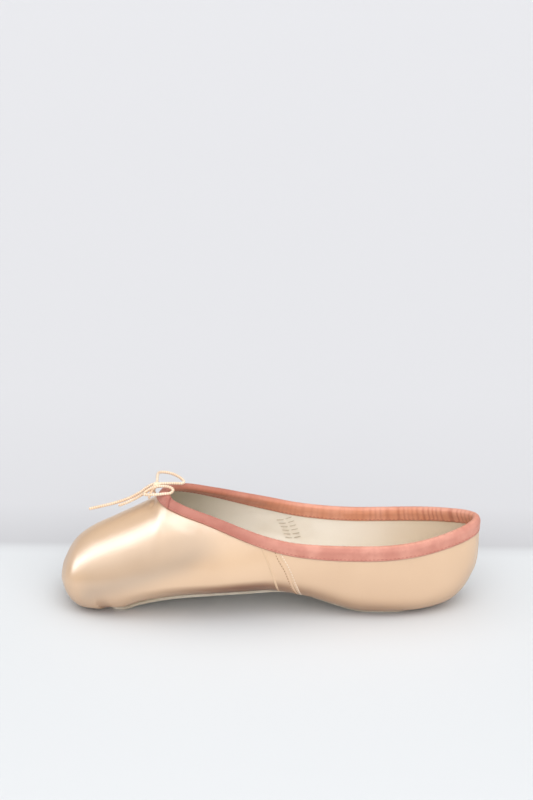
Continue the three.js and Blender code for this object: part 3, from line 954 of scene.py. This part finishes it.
def over_leaf(down, out):
    """Points at distances down from the collar's edge and out of the last, for every place round it."""
    place = np.clip(down / LEAF_STEP, 0, LEAF_STEPS - 1e-6)
    i = np.floor(place).astype(int)
    u = (place - i)[..., None]
    row = np.arange(len(LOOP))
    point = LEAF[row, i] * (1 - u) + LEAF[row, i + 1] * u
    away = unit(LEAF_OUT[row, i] * (1 - u) + LEAF_OUT[row, i + 1] * u)
    rise = unit(LEAF[:, 0] - LEAF[:, 1])
    above = np.minimum(down, 0)[..., None] * -rise
    return point + above + away * out[..., None], away


def gathers(run):
    """Irregular small folds across the binding, drawn up by the cord."""
    phase = run / 3.4 + 0.45 * np.sin(run / 6.3) + 0.3 * np.sin(run / 2.7 + 1.0)
    strength = 0.65 + 0.35 * np.sin(run / 9.1 + 0.7) * np.sin(run / 3.9)
    return -0.45 * np.cos(2 * np.pi * phase) * strength


def behind_lap(points):
    """Distance in mm behind the end of the casing that is lapped over the other at the throat."""
    ahead = LAP_AT[0] + LAP_RAKE * (points[..., 1] - LAP_AT[1])
    return np.where(points[..., 1] < 0, points[..., 0] - ahead, 9.0)


BINDING_CLOTH = 0.55
FOLD_LIFT = 1.45  # how far the fold stands above the collar's edge
HEEL_SIDE = smooth(20, 80, LOOP[:, 0])
GATHERED = smooth(45, 85, LOOP[:, 0])
GATHER = gathers(LOOP_RUN)
WALL = wall_at(LOOP[:, 0])
INNER_OUT = -(WALL + 0.25)


def leaf_out(kind, share):
    """How far the band's surface stands out from the last at a share of the leaf's width."""
    width = LEAF_WIDTHS[kind]
    roll = bump(share * width, 1.6, 1.9)
    tucked = smooth(0.93, 1.0, share) * 0.3
    stitched = 0.22 * bump(share * width, width - STITCH_UP, 0.5)
    if kind == "outer":
        lapped = 0.4 * smooth(0.35, -0.35, behind_lap(over_leaf(share * width, 0 * WALL)[0]))
        amount = (0.07 + 0.12 * HEEL_SIDE) * (1 - 0.5 * NOSE)
        return 0.3 + BINDING_CLOTH + 0.6 * roll - tucked - stitched + lapped + amount * GATHER
    amount = (0.07 + 0.28 * GATHERED) * (1 - 0.6 * NOSE)
    return INNER_OUT - BINDING_CLOTH - 0.45 * roll + tucked + stitched - amount * GATHER


def binding_lines():
    """The casing's section from the outer leaf's edge over the fold to the inner leaf's edge.

    Each line has its points all the way round, and a number from 0 on the outer leaf to 1 on the inner.
    """

    def on_leaf(kind, share):
        return over_leaf(share * LEAF_WIDTHS[kind], leaf_out(kind, share))[0]

    lines = [(on_leaf("outer", 1 - k / 11), 0.0) for k in range(12)]
    start, end = leaf_out("outer", 0.0), leaf_out("inner", 0.0)
    for k in range(1, 8):
        turn = np.pi * k / 8
        place = (start + end) / 2 + (start - end) / 2 * np.cos(turn)
        lines.append((over_leaf(-(FOLD_LIFT + 0.12 * GATHER) * np.sin(turn), place)[0], k / 8))
    return lines + [(on_leaf("inner", k / 10), 1.0) for k in range(11)]


def make_binding():
    """The casing as one closed band, its inner side lying on the wall's two faces."""
    lines = binding_lines()
    edge = 0 * WALL
    on_wall = [
        over_leaf(LEAF_WIDTHS["inner"] * 0.97, INNER_OUT + 0.05)[0],
        over_leaf(edge, INNER_OUT + 0.05)[0],
        over_leaf(edge - 0.5, -WALL / 2)[0],
        over_leaf(edge, edge + 0.25)[0],
        over_leaf(LEAF_WIDTHS["outer"] * 0.97, edge + 0.25)[0],
    ]
    points = np.stack([line for line, _ in lines] + on_wall, axis=1)
    count, columns = points.shape[:2]
    faces = grid_faces(count + 1, columns, around=True)
    faces = [[k % (count * columns) for k in face] for face in faces]
    inner = np.array([share for _, share in lines] + [1.0, 1.0, 0.5, 0.0, 0.0])
    # painted shade: in the gathers' valleys on the inner leaf, most towards the heel, and in a crease
    # behind the lapped end
    folds = smooth(0.1, -0.45, GATHER) * (0.2 + 0.55 * GATHERED)
    depth = folds[:, None] * inner[None, :]
    depth = np.maximum(depth, bump(behind_lap(points), 0.4, 0.45) * (inner < 0.4))
    across = run_of(points, axis=1)
    uv = np.stack([np.broadcast_to(LOOP_RUN[:, None], across.shape), across], axis=-1)
    throat = np.broadcast_to(smooth(30, -30, LOOP[:, :1]), (count, columns))
    weights = {"inner": np.broadcast_to(inner, (count, columns)), "fold": depth, "throat": throat}
    piece = ridden(mesh_from("collar_binding", points, faces, BINDING, uv, weights))
    weld(piece)
    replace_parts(piece, "binding")


def binding_stitches():
    """A row along the lower edge of each leaf, and a short one beside the lap."""
    parts = []
    for kind in ("outer", "inner"):
        width = LEAF_WIDTHS[kind]
        line, away = over_leaf(width - STITCH_UP, leaf_out(kind, 1 - STITCH_UP / width))
        closed = np.vstack([line, line[:1]])
        facing = np.vstack([away, away[:1]]) * (1 if kind == "outer" else -1)
        parts += stitches(closed, facing, 2.3, 1.55, 0.17, 0.12)
    line, away = [], []
    for share in np.linspace(0.05, 0.95, 30):
        points, out = over_leaf(share * LEAF_WIDTHS["outer"], leaf_out("outer", share))
        row = np.abs(behind_lap(points) + 1.2).argmin()
        line.append(points[row])
        away.append(out[row])
    parts += stitches(np.array(line), np.array(away), 1.9, 1.3, 0.16, 0.1)
    ridden(mesh_from("binding_stitches", *joined(parts), BINDING_THREAD))


BINDING = twill("binding_sateen", "c98877", "e09b7a")
BINDING_THREAD = thread("binding_thread", "b96b5b")
make_binding()
binding_stitches()

# ---- Seams: raised folded strips with their rows of stitches.

# Half of each strip's section: places across it and heights over the satin.
SEAM_PROFILE = [(-2.1, -0.1), (-1.8, 0.05), (-1.4, 0.0), (-1.0, 0.06), (-0.6, 0.1), (-0.25, 0.04)]
SEAM_PROFILE += [(0.0, -0.12)]
BACK_PROFILE = [(-1.6, 0.02), (-1.3, 0.2), (-0.8, 0.28), (-0.3, 0.24), (0.0, 0.02)]
LINE_PROFILE = [(-0.6, -0.04), (-0.3, 0.03), (0.0, 0.07)]


def side_line(rake, side, step=0.4):
    """A line down one side of the upper, from its x and z places."""
    line = spline([(x, 0, z) for x, z in rake], step)
    t = np.interp(share_at(line[:, 0]), LAST_AT, LAST_T)
    s = last_sizes(t)
    up = line[:, 2] > s["belly"]
    power = np.where(up, s["high"], s["low"])
    reach = np.abs(line[:, 2] - s["belly"]) / np.where(up, s["up"], s["down"])
    line[:, 1] = side * s["half"] * np.clip(1 - reach**power, 0, 1) ** (1 / power)
    return line


def make_strip(name, line, profile, rows=()):
    """Lays a strip on the last along a line, and gives the stitches of each row at a place across it."""
    half = np.array(profile)
    section = np.vstack([half, (half * (-1, 1))[::-1][1:]])
    across = ways_on(line)[1]
    rings = []
    for shift, rise in [*section, (section[-1, 0], -0.25), (section[0, 0], -0.25)]:
        near, here = on_surface(line + across * shift)
        rings.append(near + here * rise)
    points = np.stack(rings, axis=1)
    count, columns = points.shape[:2]
    faces = grid_faces(count, columns, around=True, ends=True)
    uv = np.stack(np.broadcast_arrays(np.arange(columns)[None, :] * 0.5, run_of(line)[:, None]), axis=-1)
    ridden(mesh_from(name, points, faces, SEAM_SATIN, uv))
    parts = []
    for shift in rows:
        near, here = on_surface(line + across * shift)
        parts.append(stitches(near + here * 0.05, here, 1.7, 1.05, 0.2, 0.12))
    return parts


def back_line():
    """Down the middle of the heel, under the binding to the sole."""
    t = np.linspace(LAST_END, 19.4, 300)
    above = last_points(t[::-1], np.full(300, np.pi / 2))
    below = last_points(t, np.full(300, -np.pi / 2))
    line = np.vstack([above[above[:, 2] < collar_height(0.997) - 3], below])
    line[:, 1] = 0
    return resample(line, 0.4)


SEAM_SATIN = satin("seam_satin", "dab791", "d4b08b", 0.32)
# thread colour and painted shade: darker than the real thread, for the shade along this row of stitches
SHADED_SEAM_THREAD = thread("seam_thread_shaded", "a97d5c")
PALE_THREAD = thread("pale_thread", "f6ece0")
ROW_SHIFT = 1.5  # from the side seam to the row of stitches on each side of it
front_rows, back_rows = [], []
for word, side in (("left", -1), ("right", 1)):
    seam = side_line(SEAM_RAKE, side)
    shifts = (ROW_SHIFT * side, -ROW_SHIFT * side)
    front_row, back_row = make_strip(f"side_seam_{word}", seam, SEAM_PROFILE, shifts)
    front_rows += front_row
    back_rows += back_row
    make_strip(f"lining_ridge_{word}", side_line(LINE_AHEAD, side), LINE_PROFILE)
make_strip("back_seam", back_line(), BACK_PROFILE)
ridden(mesh_from("seam_stitches_front", *joined(front_rows), SHADED_SEAM_THREAD))
ridden(mesh_from("seam_stitches_back", *joined(back_rows), PALE_THREAD))

# ---- Outsole, sock and the stitches on them.

EDGE_ROUND = 0.45
CHANNEL_IN = 3.2  # from the sole's edge to its stitching channel
SOCK_LEVEL = 5.6  # the sock's top above the tread
SOCK_ROWS = (4.2, 21.5)  # the last's rows between which the sock lies
# The underside's lines, as distances in from the sole's edge and heights above the tread.
UNDERSIDE = [(0.0, EDGE_ROUND), (0.15, 0.14), (0.45, 0.0), (1.2, 0.0)]
UNDERSIDE += [(CHANNEL_IN - 0.45, 0.02), (CHANNEL_IN, 0.38), (CHANNEL_IN + 0.45, 0.02), (5.0, 0.0)]


def make_outsole():
    """The sole's plate, with rounded edges and a sunk stitching channel."""
    x = eased(SOLE_START, SOLE_END, 180)
    half = np.maximum(sole_half(x), 0.6)
    under, top = [], []
    for inset, rise in UNDERSIDE:
        place = np.clip(x, SOLE_START + inset, SOLE_END - inset)
        y = np.maximum(half - inset, 0.3 * (1 - inset / 6))
        under.append(np.stack([place, y, tread_at(place) + rise], axis=1))
        if inset < 1.3:
            top.append(np.stack([place, y, tread_at(place) + SOLE_THICKNESS - rise], axis=1))
    for share in (0.6, 0.3):
        place = np.clip(x, SOLE_START + 5, SOLE_END - 5)
        y = np.maximum(half - 5, 0.05) * share
        under.append(np.stack([place, y, tread_at(place)], axis=1))
        top.append(np.stack([place, y, tread_at(place) + SOLE_THICKNESS], axis=1))
    section = top[::-1] + under
    rings = np.stack(section + [mirrored(line) for line in section[::-1]], axis=1)
    faces = grid_faces(*rings.shape[:2], around=True, flip=True, ends=True)
    piece = mesh_from("leather_outsole", rings, faces, SOLE_SUEDE)
    weld(piece)
    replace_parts(ridden(piece), "outsole")


def channel_stitches():
    """The stitches in the sole's channel."""
    outline = sole_outline(0.5)
    ahead = unit(np.gradient(outline, axis=0))
    inward = np.stack([ahead[:, 1], -ahead[:, 0], 0 * ahead[:, 0]], axis=1)
    line = outline + inward * CHANNEL_IN
    line[:, 2] = tread_at(line[:, 0]) + 0.3
    down = np.zeros_like(line) - (0, 0, 1)
    parts = stitches(line[4:-4], down[4:-4], 4.2, 3.1, 0.28, 0.05)
    ridden(mesh_from("sole_stitches", *joined(parts), SOLE_THREAD))


def make_sock():
    """The inside's floor: a thin cloth-covered board that dishes up to the lining at its edge."""
    share = np.linspace(0, 1, 16)
    rise = 0.9 * share**6 - 0.25 * (1 - share**2)
    angle = np.linspace(-np.pi / 2, 0, 90)
    rows = []
    for here in STATIONS[(STATIONS > SOCK_ROWS[0]) & (STATIONS < SOCK_ROWS[1])][::2]:
        ring = last_points(here, angle)
        x = ring[0, 0]
        wall = wall_at(x) + 0.15
        level = tread_at(x) + SOCK_LEVEL + 1.1 * bump(x, -62, 16)
        if ring[0, 2] + wall < level:
            edge = np.interp(level, ring[:, 2] + wall, np.maximum(ring[:, 1] - wall, 0.2))
            rows.append(np.stack([0 * share + x, edge * share, level + rise], axis=1))
    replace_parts(skin_piece("sock", np.array(rows)[:, ::-1], SOCK, 1.2), "insole")


SOLE_SUEDE = suede("sole_split_leather", "ece2d0", "d9ccb6", "f2eadc")
SOLE_THREAD = thread("sole_thread", "b89f7d")
SOCK = cotton("sock_cotton", "e8ddc9", "d8c9af")
make_outsole()
channel_stitches()
make_sock()

# ---- Herringbone stitches that hold the seam's allowances down on the lining.

CHEVRON_ROWS = 6
CHEVRON_PITCH = 2.6
CHEVRON_WIDTH = 4.6
CHEVRON_FROM = 8.5  # from the seam's top to the first row, below the binding


def herringbone(side):
    """Rows of pairs of slanted stitches across the side seam, on the lining's face."""
    line = side_line(SEAM_RAKE, side, 0.2)
    run = run_of(line)
    ahead, across = ways_on(line)
    parts = []
    for row in range(CHEVRON_ROWS):
        centre = CHEVRON_FROM + row * CHEVRON_PITCH
        i = int(np.interp(centre, run, np.arange(len(run))))
        for way in (-1, 1):
            start = line[i] + across[i] * way * 0.5 + ahead[i] * 0.3
            end = line[i] + across[i] * way * CHEVRON_WIDTH - ahead[i] * (0.3 + 0.9 * way * side)
            near, here = on_surface(np.linspace(start, end, 9))
            depth = wall_at(near[:, :1]) + 0.22 + 0.12 * np.sin(np.linspace(0, np.pi, 9))[:, None]
            parts.append(tube(near - here * depth, 0.23, THREAD_SIDES))
    return parts


LINING_THREAD = thread("lining_thread", "d3c6b0")
parts = herringbone(-1) + herringbone(1)
ridden(mesh_from("lining_herringbone", *joined(parts), LINING_THREAD))

# ---- Studio: a pale floor, lighter in front than behind with painted shade standing for a wall, and soft lights.

FLOOR_HALF = 6000.0
FLOOR_LINE = 0.064  # y in metres at which the near floor ends
FLOOR_TONES = (-0.5, 1.5)  # y in metres between which its tones are laid out


def make_floor():
    """A plain floor, paler on the near side of one straight line; behind it, painted shade makes it look
    like a dimmer wall, darkest just past the line.
    """
    s = Shader("studio_floor", Roughness=0.75, Specular_IOR_Level=0.15)
    place = s.node("SeparateXYZ", {0: s.node("TexCoord").outputs["Object"]}).outputs[1]
    near, far = FLOOR_TONES
    linear = s.node("MapRange", {0: place, 1: near, 2: far}).outputs[0]
    line = (FLOOR_LINE - near) / (far - near)
    places = (0.0, line - 0.0015, line + 0.0015, line + 0.03, line + 0.12, 1.0)
    # painted shade: a dark strip just past the line, as at a wall's foot, and greyer tones behind it for a
    # wall's dimmer light
    codes = ("dcdcdc", "d3d3d3", "bebcbd", "cbc9ca", "cfcdce", "d3d1d2")
    tones = s.ramp(linear, *[(place, rgb(code)) for place, code in zip(places, codes)])
    color = s.tint(tones, s.noise("Object", 2.0, 2.0), 0.02, "b0b0b2", "MIX")
    r = FLOOR_HALF
    corners = [(-r, -r, 0), (r, -r, 0), (r, r, 0), (-r, r, 0)]
    mesh_from("floor", corners, [(0, 1, 2, 3)], s.finish(Base_Color=color))


def soft_sun(name, azimuth, elevation, spread, strength, diffuse, glossy, color):
    """A far soft light, spread being its width in degrees."""
    data = bpy.data.lights.new(name, "SUN")
    data.angle = math.radians(spread)
    data.energy = strength
    data.color = color
    light = bpy.data.objects.new(name, data)
    light.rotation_euler = direction(azimuth, elevation).to_track_quat("Z", "Y").to_euler()
    light.visible_diffuse = diffuse
    light.visible_glossy = glossy
    bpy.context.scene.collection.objects.link(light)


# The world's colour, the direction it brightens in, the shares of that direction between which it
# does, and its strength at each.
WORLD_COLOR = (0.88, 0.94, 1.0, 1.0)
WORLD_UP = (0.0, -0.2, 0.98)
WORLD_TONE = (0.2, 1.0, 0.22, 0.9)
# name, azimuth, elevation, width in degrees, strength, seen in diffuse, seen in reflections, colour
LIGHTS = [
    ("overhead", 0, 78, 110, 1.35, True, False, (1.0, 0.99, 0.98)),
    ("front", 14, 38, 80, 1.8, True, False, (1.0, 1.0, 1.0)),
    ("toe_side_high", -95, 44, 28, 0.9, False, True, (0.94, 0.97, 1.0)),
    ("toe_side_low", -98, 22, 22, 0.8, False, True, (1.0, 1.0, 1.0)),
    ("toe_side_fill", -62, 45, 44, 0.18, False, True, (0.92, 0.96, 1.0)),
    ("front_high", -30, 68, 30, 0.7, False, True, (0.96, 0.98, 1.0)),
]


def light_studio():
    """Dim surroundings, brighter above and a little in front, with the soft lights."""
    world = bpy.data.worlds.new("studio")
    s = Nodes(world)
    way = {0: s.node("TexCoord").outputs["Generated"], 1: WORLD_UP}
    facing = s.node("VectorMath", way, operation="DOT_PRODUCT").outputs["Value"]
    tone = s.node("MapRange", enumerate((facing, *WORLD_TONE))).outputs[0]
    background = s.tree.nodes["Background"]
    background.inputs[0].default_value = WORLD_COLOR
    s.put(background.inputs[1], tone)
    scene = bpy.context.scene
    scene.world = world
    scene.view_settings.view_transform = "Standard"
    for light in LIGHTS:
        soft_sun(*light)


make_floor()
light_studio()
